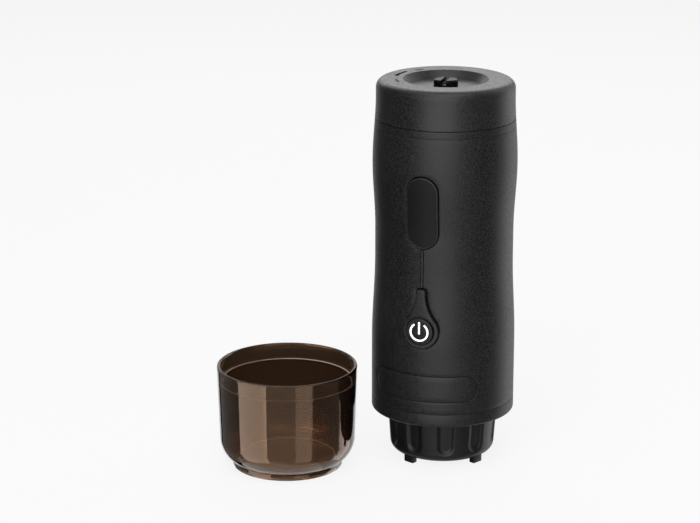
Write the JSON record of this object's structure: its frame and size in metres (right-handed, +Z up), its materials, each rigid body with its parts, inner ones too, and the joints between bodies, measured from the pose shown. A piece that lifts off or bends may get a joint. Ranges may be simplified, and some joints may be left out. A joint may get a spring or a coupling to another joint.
{
  "type": "portable coffee machine",
  "caption": "Waisted black portable espresso machine with screw-on tank lid, ribbed brew cap on feet, power button, display window and a clear brown cup beside it.",
  "frame": {"origin": "on the table, under the middle of the footprint of machine and cup together", "axes": "+Z up along the machine, -Y to the front with the button and window, the cup at -X"},
  "size_m": [0.1392, 0.1138, 0.1943],
  "materials": {
    "shell_black": "matt black with a fine grain",
    "satin_black": "satin black",
    "gloss_black": "gloss black",
    "icon_white": "white light guide",
    "cup_brown": "clear smoky brown",
    "black_rubber": "soft black",
    "grey_silicone": "milky silicone",
    "tank_alloy": "satin",
    "steel": "plain steel",
    "brass": "turned",
    "copper_coil": "lacquered winding",
    "frame_grey": "moulded grey",
    "fitting_white": "moulded off-white",
    "board_green": "solder mask green",
    "chip_black": "black packages",
    "cell_blue": "blue sleeve",
    "lead_red": "insulated wire",
    "lead_black": "insulated wire"
  },
  "bodies": {
    "machine": {"collar_ring": "shell_black", "water_tank": "tank_alloy", "heater_plate": "tank_alloy", "thermostat": "tank_alloy", "outer_shell": "shell_black", "display_window": "gloss_black", "display_module": "chip_black", "button_bezel": "shell_black", "tact_switch": "chip_black", "control_board": "board_green", "board_parts": "chip_black", "name_plate": "shell_black", "base_cover": "shell_black", "base_screws": "steel", "group_head": "satin_black", "shower_plate": "steel", "shower_screw": "steel", "group_seal": "grey_silicone", "lower_deck": "frame_grey", "upper_deck": "frame_grey", "frame_post_1": "brass", "frame_post_2": "brass", "frame_post_3": "brass", "frame_post_4": "brass", "frame_screws": "steel", "battery_cell_1": "cell_blue", "battery_cell_2": "cell_blue", "battery_cell_3": "cell_blue", "lower_cell_holder": "frame_grey", "upper_cell_holder": "frame_grey", "cell_contacts": "steel", "pump_yoke": "steel", "pump_coil": "copper_coil", "pump_tube": "brass", "pump_spring": "steel", "buffer_spring": "steel", "pump_inlet": "fitting_white", "pump_outlet": "fitting_white", "pump_mount": "black_rubber", "inlet_hose": "grey_silicone", "outlet_hose": "grey_silicone", "port_board": "board_green", "charge_port": "steel", "heater_leads": "lead_red", "battery_leads": "lead_black"},
    "lid_seal": {"lid_gasket": "grey_silicone"},
    "lid": {"tank_lid": "shell_black", "vent_cap": "gloss_black", "vent_valve": "grey_silicone"},
    "basket": {"coffee_basket": "steel"},
    "cap": {"brew_cap": "satin_black"},
    "button": {"power_button": "satin_black", "power_icon": "icon_white", "switch_plunger": "chip_black"},
    "flap": {"port_flap": "black_rubber"},
    "armature": {"pump_armature": "steel"},
    "cup": {"cup": "cup_brown"}
  },
  "joints": [
    {"name": "lid_rise", "type": "slide", "parent": "machine", "child": "lid_seal", "axis": [0, 0, 1], "range_m": [0, 0.006]},
    {"name": "lid_turn", "type": "hinge", "parent": "lid_seal", "child": "lid", "pos_m": [0.0336, 0.02095, 0.18], "axis": [0, 0, 1], "range_deg": [0, 540]},
    {"name": "basket_drop", "type": "slide", "parent": "machine", "child": "basket", "axis": [0, 0, -1], "range_m": [0, 0.006]},
    {"name": "cap_turn", "type": "hinge", "parent": "basket", "child": "cap", "pos_m": [0.0336, 0.02095, 0.014], "axis": [0, 0, -1], "range_deg": [0, 540]},
    {"name": "button_press", "type": "slide", "parent": "machine", "child": "button", "axis": [0, 1, 0], "range_m": [0, 0.0007], "stiffness_N_per_m": 2000},
    {"name": "flap_open", "type": "hinge", "parent": "machine", "child": "flap", "pos_m": [0.0336, 0.055, 0.12515], "axis": [-1, 0, 0], "range_deg": [0, 90]},
    {"name": "pump_stroke", "type": "slide", "parent": "machine", "child": "armature", "axis": [0, 0, 1], "range_m": [-0.0025, 0.0025], "stiffness_N_per_m": 900, "deforming": ["pump_spring", "buffer_spring"]},
    {"name": "cup_lift", "type": "slide", "parent": "machine", "child": "cup", "axis": [0, 0, 1], "range_m": [0, 0.12]}
  ],
  "couplings": [
    {"joint": "lid_rise", "follows": "lid_turn", "m_per_rad": 0.0006366},
    {"joint": "basket_drop", "follows": "cap_turn", "m_per_rad": 0.0006366}
  ]
}
